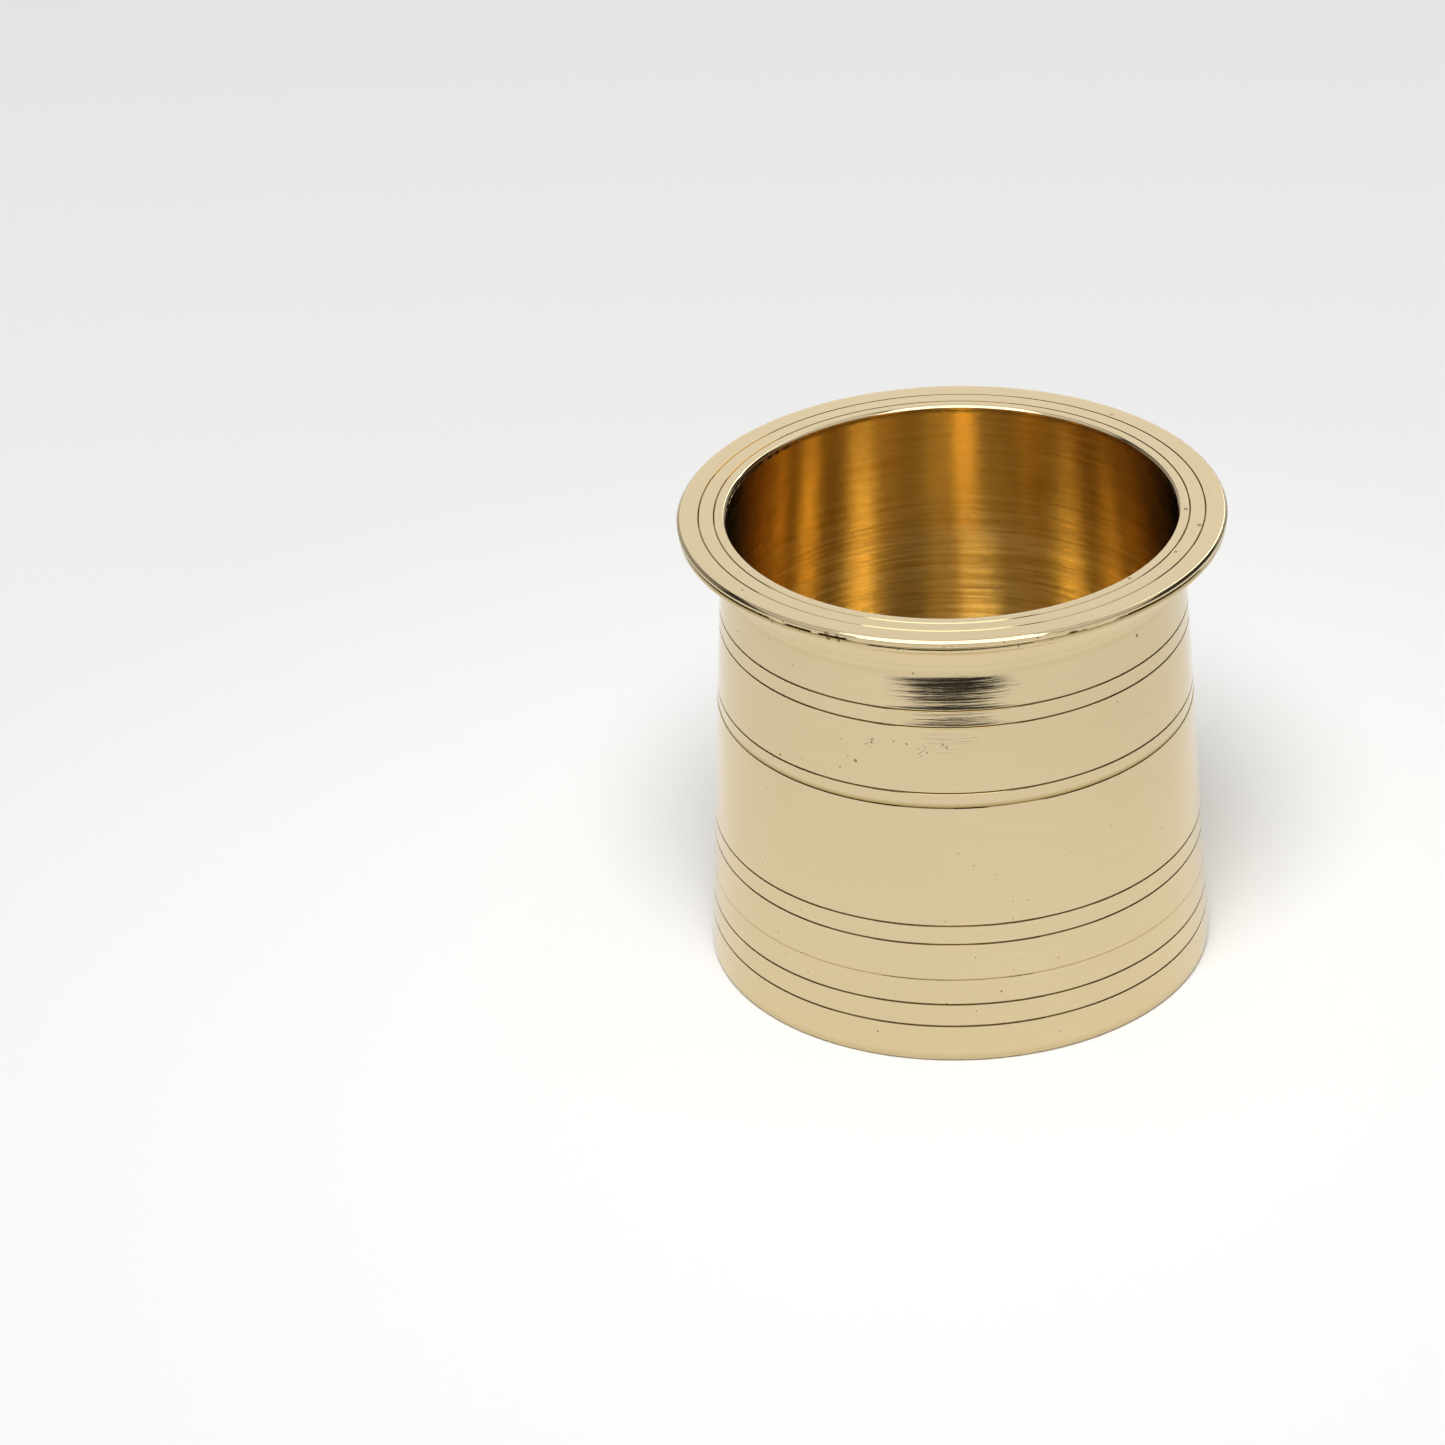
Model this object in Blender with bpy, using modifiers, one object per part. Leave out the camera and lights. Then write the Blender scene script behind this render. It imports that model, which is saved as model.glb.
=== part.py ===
"""Brass water pot with a flat grooved rim, a panchapatra, made as five turned pieces.

Metres, +Z up. The origin is the centre of the ring that the pot stands on, at table level.
The outside of the wall is a gentle cone that is widest at the foot. It carries engraved
lines, and under the rim it flares out in a cove to a lip. The rim ring lies flat on that lip
and is brazed to it. The base disc is pushed up inside the foot against a shoulder and is
brazed from below, so the pot stands on the wall's edge.
"""

import math

import bmesh
import bpy

MM = 0.001
MERGE_DISTANCE = 0.01 * MM

# Driving dimensions
HEIGHT = 71.4 * MM
RIM_RADIUS = 40.0 * MM
MOUTH_RADIUS = 32.9 * MM
NECK_RADIUS = 34.0 * MM
FOOT_RADIUS = 37.4 * MM
SEGMENTS = 64
SHARP_ANGLE = math.radians(25.0)
GAP = 0.3 * MM

# Rim ring, and the lip of the wall that carries it
RING_THICKNESS = 0.75 * MM
RING_EDGE = 0.2 * MM
LIP_THICKNESS = 0.95 * MM
LIP_RADIUS = 39.85 * MM
COVE_FOOT_Z = 62.6 * MM
COVE_STEPS = 6
COVE_TOP_ANGLE = math.radians(80.0)
RIM_GROOVE_RADII = (36.9 * MM, 34.65 * MM)

# Engraved lines round the wall: height of each line, its width and its depth
WALL_LINES = (
    (57.0 * MM, 0.45 * MM, 0.16 * MM),
    (54.4 * MM, 0.45 * MM, 0.16 * MM),
    (43.9 * MM, 0.45 * MM, 0.16 * MM),
    (42.1 * MM, 1.10 * MM, 0.12 * MM),
    (22.4 * MM, 0.45 * MM, 0.16 * MM),
    (19.4 * MM, 0.45 * MM, 0.16 * MM),
    (9.5 * MM, 0.45 * MM, 0.16 * MM),
    (5.9 * MM, 0.45 * MM, 0.16 * MM),
)
RIM_LINE_WIDTH = 0.45 * MM
RIM_LINE_DEPTH = 0.14 * MM

# Base disc, its seat in the foot and the foot's own edge
FOOT_CHAMFER = 0.7 * MM
FOOT_CHAMFER_TOP = 1.4 * MM
FOOT_CHAMFER_BREAK = 0.23 * MM
BORE_RADIUS_AT_SEAT = 34.4 * MM
SEAT_RADIUS = 35.1 * MM
SEAT_Z = 3.9 * MM
DISC_THICKNESS = 1.4 * MM

# Brazing: a ring of filler in a channel of the lip, and a fillet under the base disc
CHANNEL_RADIUS = 35.65 * MM
CHANNEL_WIDTH = 1.5 * MM
CHANNEL_DEPTH = 1.2 * MM
FILLET_LEG = 1.2 * MM

RING_UNDERSIDE = HEIGHT - RING_THICKNESS
LIP_TOP = RING_UNDERSIDE - GAP
LIP_UNDERSIDE = LIP_TOP - LIP_THICKNESS
DISC_RADIUS = SEAT_RADIUS - GAP
DISC_TOP = SEAT_Z - GAP
DISC_UNDERSIDE = DISC_TOP - DISC_THICKNESS

# Linear base colour, roughness
BRASS = ((0.80, 0.60, 0.30), 0.12)
BRASS_BASE = ((0.72, 0.52, 0.25), 0.30)
BRAZE = ((0.30, 0.22, 0.10), 0.50)

COLLECTION_NAME = "brass_kalash_pot"


def clear_scene():
    for obj in list(bpy.data.objects):
        bpy.data.objects.remove(obj, do_unlink=True)


def metal(name, look):
    """An opaque metal with its own colour and roughness."""
    colour, roughness = look
    material = bpy.data.materials.new(name)
    material.use_nodes = True
    shader = material.node_tree.nodes["Principled BSDF"]
    shader.inputs["Base Color"].default_value = (*colour, 1.0)
    shader.inputs["Metallic"].default_value = 1.0
    shader.inputs["Roughness"].default_value = roughness
    return material


def turned(name, profile, material, collection):
    """A piece turned on the lathe: an (r, z) profile spun once round Z.

    The profile starts at its top and runs down its outer side first. A profile that starts
    and ends on the axis is left open there, and any other one is closed on itself.
    """
    mesh = bpy.data.meshes.new(name)
    outline = bmesh.new()
    points = [outline.verts.new((radius, 0.0, z)) for radius, z in profile]
    for start, end in zip(points, points[1:]):
        outline.edges.new((start, end))
    if profile[0][0] > 0.0:
        outline.edges.new((points[-1], points[0]))
    outline.to_mesh(mesh)
    outline.free()

    piece = bpy.data.objects.new(name, mesh)
    collection.objects.link(piece)
    screw = piece.modifiers.new("Lathe", "SCREW")
    screw.axis = "Z"
    screw.angle = math.tau
    screw.steps = SEGMENTS
    screw.render_steps = SEGMENTS
    screw.use_merge_vertices = True
    screw.merge_threshold = MERGE_DISTANCE

    spun = bpy.data.meshes.new_from_object(piece.evaluated_get(bpy.context.evaluated_depsgraph_get()))
    piece.modifiers.clear()
    piece.data = spun
    bpy.data.meshes.remove(mesh)
    spun.name = name
    spun.materials.clear()
    spun.materials.append(material)
    spun.shade_smooth()
    spun.set_sharp_from_angle(angle=SHARP_ANGLE)
    return piece


def wall_radius(z):
    """Outer radius of the wall's cone at height z."""
    return FOOT_RADIUS + (NECK_RADIUS - FOOT_RADIUS) * z / COVE_FOOT_Z


def bore_radius(z):
    """Inner radius of the wall, which widens evenly from the mouth to the base's seat."""
    share = (z - SEAT_Z) / (HEIGHT - SEAT_Z)
    return BORE_RADIUS_AT_SEAT + (MOUTH_RADIUS - BORE_RADIUS_AT_SEAT) * share


def cove_points():
    """The hollow curve under the rim, a quarter ellipse from the lip down to the cone."""
    points = []
    for step in range(COVE_STEPS + 1):
        angle = COVE_TOP_ANGLE * (1.0 - step / COVE_STEPS)
        radius = NECK_RADIUS + (LIP_RADIUS - RING_EDGE - NECK_RADIUS) * (1.0 - math.cos(angle))
        points.append((radius, COVE_FOOT_Z + (LIP_UNDERSIDE - COVE_FOOT_Z) * math.sin(angle)))
    return points


def wall_line_points():
    """Each engraved line as a shallow V in the cone, from the top one down."""
    points = []
    for height, width, depth in WALL_LINES:
        for z, cut in ((height + width / 2, 0.0), (height, depth), (height - width / 2, 0.0)):
            points.append((wall_radius(z) - cut, z))
    return points


def pot_wall(collection):
    channel_outer = CHANNEL_RADIUS + CHANNEL_WIDTH / 2
    channel_inner = CHANNEL_RADIUS - CHANNEL_WIDTH / 2
    lip_edge = [
        (LIP_RADIUS - RING_EDGE, LIP_TOP),
        (LIP_RADIUS, LIP_TOP - RING_EDGE),
        (LIP_RADIUS, LIP_UNDERSIDE + RING_EDGE),
        (LIP_RADIUS - RING_EDGE, LIP_UNDERSIDE),
    ]
    foot = [
        (wall_radius(FOOT_CHAMFER_TOP), FOOT_CHAMFER_TOP),
        (FOOT_RADIUS - FOOT_CHAMFER_BREAK, FOOT_CHAMFER_BREAK),
        (FOOT_RADIUS - FOOT_CHAMFER, 0.0),
        (SEAT_RADIUS, 0.0),
        (SEAT_RADIUS, SEAT_Z),
    ]
    bore = [(BORE_RADIUS_AT_SEAT, SEAT_Z), (bore_radius(LIP_TOP), LIP_TOP)]
    channel = [
        (channel_inner, LIP_TOP),
        (channel_inner, LIP_TOP - CHANNEL_DEPTH),
        (channel_outer, LIP_TOP - CHANNEL_DEPTH),
        (channel_outer, LIP_TOP),
    ]
    profile = lip_edge + cove_points() + wall_line_points() + foot + bore + channel
    turned("pot_wall", profile, metal("wall_brass", BRASS), collection)


def rim_ring(collection):
    profile = []
    for radius in sorted(RIM_GROOVE_RADII):
        half_width = RIM_LINE_WIDTH / 2
        for r, cut in ((radius - half_width, 0.0), (radius, RIM_LINE_DEPTH), (radius + half_width, 0.0)):
            profile.append((r, HEIGHT - cut))
    profile += [
        (RIM_RADIUS - RING_EDGE, HEIGHT),
        (RIM_RADIUS, HEIGHT - RING_EDGE),
        (RIM_RADIUS, RING_UNDERSIDE + RING_EDGE),
        (RIM_RADIUS - RING_EDGE, RING_UNDERSIDE),
        (MOUTH_RADIUS, RING_UNDERSIDE),
        (MOUTH_RADIUS, HEIGHT - RING_EDGE),
        (MOUTH_RADIUS + RING_EDGE, HEIGHT),
    ]
    turned("rim_ring", profile, metal("rim_brass", BRASS), collection)


def base_disc(collection):
    profile = [(0.0, DISC_TOP), (DISC_RADIUS, DISC_TOP), (DISC_RADIUS, DISC_UNDERSIDE), (0.0, DISC_UNDERSIDE)]
    turned("base_disc", profile, metal("base_brass", BRASS_BASE), collection)


def rim_braze(collection):
    """The ring of filler that lies in the lip's channel under the rim ring."""
    outer = CHANNEL_RADIUS + CHANNEL_WIDTH / 2 - GAP
    inner = CHANNEL_RADIUS - CHANNEL_WIDTH / 2 + GAP
    bottom = LIP_TOP - CHANNEL_DEPTH + GAP
    profile = [(outer, LIP_TOP), (outer, bottom), (inner, bottom), (inner, LIP_TOP)]
    turned("rim_braze", profile, metal("rim_filler", BRAZE), collection)


def base_braze(collection):
    """The fillet of filler in the corner between the base disc and the foot."""
    top = DISC_UNDERSIDE - GAP
    outer = SEAT_RADIUS - GAP
    profile = [(outer, top), (outer, top - FILLET_LEG), (outer - FILLET_LEG, top)]
    turned("base_braze", profile, metal("base_filler", BRAZE), collection)


def main():
    clear_scene()
    collection = bpy.data.collections.new(COLLECTION_NAME)
    bpy.context.scene.collection.children.link(collection)
    pot_wall(collection)
    rim_ring(collection)
    base_disc(collection)
    rim_braze(collection)
    base_braze(collection)


main()
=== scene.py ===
"""The looks of the brass water pot.

Each CAD node is replaced by a fine turned piece of the same size, made by spinning a detailed
profile, with brass that shows its turning marks, engraved lines, pores and darkened seams.
Metres, +Z up, the pot standing on z = 0 and turned round Z. Azimuths are in degrees, seen from
the pot: 0 is -Y, where the camera stands, and + is towards +X.
"""

import math

import bpy
import numpy as np
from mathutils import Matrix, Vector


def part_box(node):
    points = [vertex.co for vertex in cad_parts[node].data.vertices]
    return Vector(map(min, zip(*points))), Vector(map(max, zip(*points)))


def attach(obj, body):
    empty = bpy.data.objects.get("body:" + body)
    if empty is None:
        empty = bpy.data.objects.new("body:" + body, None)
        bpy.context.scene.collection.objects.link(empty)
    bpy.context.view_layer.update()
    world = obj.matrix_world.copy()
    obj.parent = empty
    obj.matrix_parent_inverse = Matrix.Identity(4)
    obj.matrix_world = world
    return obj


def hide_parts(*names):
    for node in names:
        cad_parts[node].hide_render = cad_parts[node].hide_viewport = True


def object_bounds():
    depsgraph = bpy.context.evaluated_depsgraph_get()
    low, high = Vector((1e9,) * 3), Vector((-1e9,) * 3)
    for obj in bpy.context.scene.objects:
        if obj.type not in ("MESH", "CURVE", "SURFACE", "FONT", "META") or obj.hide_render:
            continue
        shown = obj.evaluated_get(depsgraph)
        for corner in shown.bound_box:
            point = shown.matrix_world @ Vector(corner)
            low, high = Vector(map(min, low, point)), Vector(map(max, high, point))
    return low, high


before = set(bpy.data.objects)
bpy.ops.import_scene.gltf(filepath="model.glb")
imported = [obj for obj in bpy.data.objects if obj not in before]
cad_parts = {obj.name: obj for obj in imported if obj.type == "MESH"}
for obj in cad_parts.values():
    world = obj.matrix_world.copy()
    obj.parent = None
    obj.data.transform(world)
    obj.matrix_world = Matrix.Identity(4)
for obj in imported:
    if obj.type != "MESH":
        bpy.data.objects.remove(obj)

MM = 0.001

# The frame's own sizes
CAD_LOW, CAD_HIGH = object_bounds()
HEIGHT = CAD_HIGH.z
RIM_RADIUS = CAD_HIGH.x
RING_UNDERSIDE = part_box("rim_ring")[0].z
LIP_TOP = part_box("pot_wall")[1].z
LIP_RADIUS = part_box("pot_wall")[1].x
DISC_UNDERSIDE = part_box("base_disc")[0].z
DISC_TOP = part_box("base_disc")[1].z
DISC_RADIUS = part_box("base_disc")[1].x
FILLET_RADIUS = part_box("base_braze")[1].x
FILLET_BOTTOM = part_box("base_braze")[0].z
FILLET_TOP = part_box("base_braze")[1].z

# Sizes inside the nodes, the same as in the CAD model
MOUTH_RADIUS = 32.9 * MM
NECK_RADIUS = 34.0 * MM
FOOT_RADIUS = 37.4 * MM
COVE_FOOT_Z = 62.6 * MM
LIP_THICKNESS = 0.95 * MM
SEAT_RADIUS = 35.1 * MM
SEAT_Z = 3.9 * MM
BORE_RADIUS_AT_SEAT = 34.4 * MM
FOOT_EDGE = 0.7 * MM
RIM_GROOVE_RADII = (34.65 * MM, 36.9 * MM)
SHARP_LINES = (57.0 * MM, 54.4 * MM, 43.9 * MM, 22.4 * MM, 19.4 * MM, 9.5 * MM, 5.9 * MM)
WIDE_LINE_TOP, WIDE_LINE_BOTTOM = 42.65 * MM, 41.6 * MM
FAINT_LINE = 13.6 * MM

LIP_LOW = LIP_TOP - LIP_THICKNESS
SEGMENTS = 256
BASE_SEGMENTS = 192
RIM_SEAM_SEGMENTS = 900
BASE_SEAM_SEGMENTS = 320
SHARP_ANGLE = math.radians(20.0)


# ---------------------------------------------------------------- turned meshes

def lathe(name, rows, segments=SEGMENTS, warp=None):
    """Spins rows of (radius, z, share of residue and painted shade) round Z. Rows run down the
    outer side first.

    Rows that start and end on the axis close there; any other outline closes on itself.
    warp(angles, radius, z, grime_and_shade) returns those last three arrays, changed, for one
    row.
    """
    on_axis = rows[0][0] == 0.0
    ring_rows = rows[1:-1] if on_axis else rows
    angles = np.arange(segments) * (math.tau / segments)
    points = []
    grime_and_shade = []
    for radius, z, dirt_and_shade in ring_rows:
        r, height, dirt_and_shade_part = (np.full(segments, value) for value in (radius, z, dirt_and_shade))
        if warp is not None:
            r, height, dirt_and_shade_part = warp(angles, r, height, dirt_and_shade_part)
        points.append(np.stack([r * np.cos(angles), r * np.sin(angles), height], axis=-1))
        grime_and_shade.append(dirt_and_shade_part)
    count = len(ring_rows)
    verts = np.concatenate(points).tolist()
    dirt_and_shade = np.concatenate(grime_and_shade).tolist()
    here = np.arange(segments)
    after = (here + 1) % segments
    faces = []
    for row in range(count - 1 if on_axis else count):
        top = row * segments
        low = ((row + 1) % count) * segments
        faces += np.stack([top + here, low + here, low + after, top + after], axis=-1).tolist()
    if on_axis:
        for z, row, order in ((rows[0][1], 0, 1), (rows[-1][1], count - 1, -1)):
            centre = len(verts)
            verts.append([0.0, 0.0, z])
            dirt_and_shade.append(0.0)
            ring = row * segments
            fan = [[centre, ring + a, ring + b] for a, b in zip(here.tolist(), after.tolist())]
            faces += [face[::order] for face in fan]
    mesh = bpy.data.meshes.new(name)
    mesh.from_pydata(verts, [], faces)
    # The grime_and_shade share: dark residue together with painted shade in grooves, seams and
    # corners
    mesh.attributes.new("grime_and_shade", "FLOAT", "POINT").data.foreach_set("value", dirt_and_shade)
    mesh.shade_smooth()
    mesh.set_sharp_from_angle(angle=SHARP_ANGLE)
    piece = bpy.data.objects.new(name, mesh)
    bpy.context.scene.collection.objects.link(piece)
    return piece


def arc(centre_r, centre_z, radius, start, end, steps, dirt_and_shade=0.0):
    """Rows along an arc in the (r, z) plane, angles in degrees from +r towards +z."""
    rows = []
    for step in range(steps + 1):
        angle = math.radians(start + (end - start) * step / steps)
        r, z = centre_r + radius * math.cos(angle), centre_z + radius * math.sin(angle)
        rows.append((r, z, dirt_and_shade))
    return rows


def evenly(start, end, pitch):
    """Places from start to end, both included, about a pitch apart."""
    steps = max(1, round(abs(end - start) / pitch))
    return [start + (end - start) * step / steps for step in range(steps + 1)]


def degrees_round(angles):
    """Azimuth of each mesh angle, from -180 to 180, with 0 at -Y and + towards +X."""
    return (np.degrees(angles) + 90.0 + 180.0) % 360.0 - 180.0


WAVE_COUNTS = (2, 3, 5, 9, 17, 31, 53, 97, 140)
WAVE_FADE = 0.35


def waves(angles, seed, highest=140):
    """An uneven line round the pot, from 0 to 1: waves that shrink as their count grows."""
    rng = np.random.default_rng(seed)
    total = np.zeros_like(angles)
    for count in WAVE_COUNTS:
        size = rng.normal() / count ** WAVE_FADE
        phase = rng.uniform(0, math.tau)
        if count <= highest:
            total += size * np.cos(count * angles + phase)
    return (total - total.min()) / (total.max() - total.min())


def stretch(azimuths, start, end, fade):
    """1 between two azimuths and 0 outside, with soft ends."""
    rise = np.clip((azimuths - start) / fade, 0.0, 1.0)
    fall = np.clip((end - azimuths) / fade, 0.0, 1.0)
    return np.minimum(rise, fall)


# ---------------------------------------------------------------- engraved lines

# A sharp V with a slightly raised lip on each side, partly filled with dark residue and painted
# shade
LINE_WIDTH = 0.30 * MM
LINE_DEPTH = 0.12 * MM
LINE_LIP = 0.03
GRIME_AND_SHADE_FILL = 1.6
FAINT_LINE_DEPTH = 0.03 * MM
FAINT_LINE_GRIME_AND_SHADE = 0.25
# Where a line's rows lie, in half widths from its middle
CUT_SHARES = (-2.0, -1.5, -1.0, -0.8, -0.4, 0.0, 0.4, 0.8, 1.0, 1.5, 2.0)

WIDE_LINE_DEPTH = 0.10 * MM
WIDE_LINE_EDGE = 0.12 * MM
WIDE_LINE_PITCH = 0.08 * MM
# Painted shade of the wide line: gold on its slope, and residue with painted shade at its lower
# edge
WIDE_SLOPE_PAINTED_SHADE = 0.40
WIDE_EDGE_GRIME_AND_SHADE = 0.90

RING_GROOVE_DEPTH = 0.17 * MM
RING_GROOVE_SLOPE = 0.20 * MM
RING_GROOVE_STEEP = 0.05 * MM
# Where a ring groove's rows lie, in millimetres from the foot of its slope
RING_GROOVE_STEPS = (-0.21, -0.20, -0.15, -0.10, -0.05, 0.0, 0.025, 0.05, 0.06)


def engraving(distance, width=LINE_WIDTH, depth=LINE_DEPTH):
    """Depth, and share of residue and painted shade, of a V cut with a slightly raised lip, at a
    distance from its middle.
    """
    share = abs(distance) / (width / 2)
    if share < 1.0:
        return depth * (1.0 - share), min(1.0, GRIME_AND_SHADE_FILL * (1.0 - share))
    if share < 2.0:
        return -LINE_LIP * depth * math.sin(math.pi * (share - 1.0)) ** 2, 0.0
    return 0.0, 0.0


def wide_line(z):
    """Depth and painted shade of the wide line: a slope that deepens downwards to a crisp lower
    edge. The slope is painted gold shade, the edge dark with residue and painted shade.
    """
    if WIDE_LINE_BOTTOM <= z <= WIDE_LINE_TOP:
        share = (WIDE_LINE_TOP - z) / (WIDE_LINE_TOP - WIDE_LINE_BOTTOM)
        return WIDE_LINE_DEPTH * share ** 1.5, WIDE_SLOPE_PAINTED_SHADE * share ** 2.0
    if WIDE_LINE_BOTTOM - WIDE_LINE_EDGE < z < WIDE_LINE_BOTTOM:
        share = (z - WIDE_LINE_BOTTOM + WIDE_LINE_EDGE) / WIDE_LINE_EDGE
        return WIDE_LINE_DEPTH * share, WIDE_EDGE_GRIME_AND_SHADE * share
    return 0.0, 0.0


def ring_groove(distance):
    """Depth and painted shade of a ring cut in the rim: a slope outwards, then a steep outer
    side.

    The distance is from the slope's foot, and is positive towards the rim's edge.
    """
    if -RING_GROOVE_SLOPE < distance <= 0.0:
        share = 1.0 + distance / RING_GROOVE_SLOPE
        return RING_GROOVE_DEPTH * share, 0.5 * share
    if 0.0 < distance < RING_GROOVE_STEEP:
        share = 1.0 - distance / RING_GROOVE_STEEP
        return RING_GROOVE_DEPTH * share, 0.5 + 0.5 * share
    return 0.0, 0.0


def ring_groove_places():
    return [radius + step * MM for radius in RIM_GROOVE_RADII for step in RING_GROOVE_STEPS]


def places_near(lines, width):
    return [line + share * width / 2 for line in lines for share in CUT_SHARES]


# ---------------------------------------------------------------- the wall's profile

FOOT_TOP = 2.2 * FOOT_EDGE
WALL_PITCH = 1.1 * MM
# Slow waves in a radius: height, length and phase
POLISH_WAVES = ((0.008 * MM, 5.1 * MM, 0.0), (0.004 * MM, 2.3 * MM, 1.0))
CHATTER_WAVES = ((0.008 * MM, 0.9 * MM, 0.0), (0.020 * MM, 2.1 * MM, 0.0))

LIP_TOP_EDGE = 0.12 * MM
LIP_LOW_EDGE = 0.35 * MM
COVE_STEPS = 36
COVE_TOP_ANGLE = math.radians(84.0)
COVE_TOOL_MARK = 0.004 * MM
COVE_GRIME = 0.06
SEAT_BREAK = 0.2 * MM

# The bore is rough-turned low down, and buffed smooth towards the mouth
BORE_MARK_PITCH = 0.45 * MM
BORE_MARK_DEPTH = 0.006 * MM
BORE_MARKS_TOP = 58 * MM
BORE_MARKS_FADE = 10 * MM
BORE_MARKS_LEFT = 0.08
BORE_START = SEAT_Z + 0.5 * MM
BORE_END = LIP_TOP - 0.3 * MM


def ripple(z, slow_waves):
    return sum(size * math.sin(z / length + phase) for size, length, phase in slow_waves)


def wall_radius(z):
    """Outer radius of the wall's cone, with the slow waviness that hand polishing leaves."""
    cone = FOOT_RADIUS + (NECK_RADIUS - FOOT_RADIUS) * z / COVE_FOOT_Z
    return cone + ripple(z, POLISH_WAVES)


def wall_outside():
    """The cone from the cove down to the foot's edge, with its engraved lines."""
    low, high = FOOT_TOP, COVE_FOOT_Z - 0.5 * MM
    places = set(evenly(low, high, WALL_PITCH))
    places |= set(places_near(SHARP_LINES, LINE_WIDTH))
    places |= set(evenly(WIDE_LINE_BOTTOM - 0.16 * MM, WIDE_LINE_TOP + 0.1 * MM, WIDE_LINE_PITCH))
    places |= set(places_near((FAINT_LINE,), LINE_WIDTH))
    rows = []
    for z in sorted((place for place in places if low <= place <= high), reverse=True):
        cut, dirt_and_shade = wide_line(z)
        for line in SHARP_LINES:
            depth, grime_and_shade = engraving(z - line)
            cut, dirt_and_shade = cut + depth, max(dirt_and_shade, grime_and_shade)
        depth, grime_and_shade = engraving(z - FAINT_LINE, LINE_WIDTH, FAINT_LINE_DEPTH)
        rows.append((wall_radius(z) - cut - depth, z, max(dirt_and_shade, FAINT_LINE_GRIME_AND_SHADE * grime_and_shade)))
    return rows


def cove():
    """The hollow curve under the rim, a quarter ellipse from the lip down to the cone."""
    reach = LIP_RADIUS - LIP_LOW_EDGE - NECK_RADIUS
    rows = []
    rng = np.random.default_rng(3)
    for step in range(COVE_STEPS + 1):
        angle = COVE_TOP_ANGLE * (1.0 - step / COVE_STEPS)
        tool_mark = COVE_TOOL_MARK * rng.uniform(-1.0, 1.0)
        radius = NECK_RADIUS + reach * (1.0 - math.cos(angle)) + tool_mark
        z = COVE_FOOT_Z + (LIP_LOW - COVE_FOOT_Z) * math.sin(angle)
        rows.append((radius, z, rng.uniform(0.0, COVE_GRIME)))
    return rows


def foot():
    """The rounded edge that the pot stands on, and the seat of the base disc inside it."""
    rows = arc(wall_radius(FOOT_EDGE) - FOOT_EDGE, FOOT_EDGE, FOOT_EDGE, 0, -90, 8, 0.1)
    rows.append((SEAT_RADIUS + SEAT_BREAK, 0.0, 0.2))
    rows.append((SEAT_RADIUS, SEAT_BREAK, 0.3))
    rows.append((SEAT_RADIUS, SEAT_Z, 0.6))
    rows.append((BORE_RADIUS_AT_SEAT, SEAT_Z, 0.5))
    return rows


def bore_radius(z):
    share = (z - SEAT_Z) / (HEIGHT - SEAT_Z)
    return BORE_RADIUS_AT_SEAT + (MOUTH_RADIUS - BORE_RADIUS_AT_SEAT) * share


def bore():
    """The inside of the wall from its seat up, with single turning marks and slower chatter."""
    rows = []
    rng = np.random.default_rng(7)
    for z in evenly(BORE_START, BORE_END, BORE_MARK_PITCH):
        rough_share = min(max((BORE_MARKS_TOP - z) / BORE_MARKS_FADE, BORE_MARKS_LEFT), 1.0)
        mark = BORE_MARK_DEPTH * rng.uniform(-1.0, 1.0)
        relief = mark + ripple(z, CHATTER_WAVES)
        rows.append((bore_radius(z) + rough_share * relief, z, 0.0))
    rows.append((bore_radius(LIP_TOP), LIP_TOP, 0.1))
    return rows


def wall_rows():
    rows = arc(LIP_RADIUS - LIP_TOP_EDGE, LIP_TOP - LIP_TOP_EDGE, LIP_TOP_EDGE, 90, 0, 4, 0.3)
    rows += arc(LIP_RADIUS - LIP_LOW_EDGE, LIP_LOW + LIP_LOW_EDGE, LIP_LOW_EDGE, 0, -84, 8)
    return rows + cove() + wall_outside() + foot() + bore()


# ---------------------------------------------------------------- the rim's profile

RIM_EDGE = 0.42 * MM
RIM_INNER_EDGE = 0.34 * MM
RIM_EDGE_ROUND = 0.12 * MM
RIM_PITCH = 0.5 * MM
INNER_CORNER = 0.08 * MM

# Where the rim's seam is an open dark line, and where it is only pitted: azimuths
OPEN_SEAM = ((-75.0, -38.0), (34.0, 64.0), (150.0, 205.0))
PITTED_SEAM = ((-38.0, -20.0), (2.0, 34.0))
NICK_AZIMUTH, NICK_WIDTH = -25.5, 2.6

# How deep the filler sinks, in millimetres, and the depth at which it is painted fully dark,
# residue and painted shade together
OPEN_SUNKEN = 0.35
PITTED_SUNKEN = 0.30
NICK_SUNKEN = 0.9
FLUSH_SUNKEN = 0.03
INNER_SUNKEN = 0.10
DARK_SUNKEN = 0.25
INNER_DARK_SUNKEN = 0.06
PIT_LEVEL = 0.52
PIT_SHARPNESS = 6.0


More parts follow.
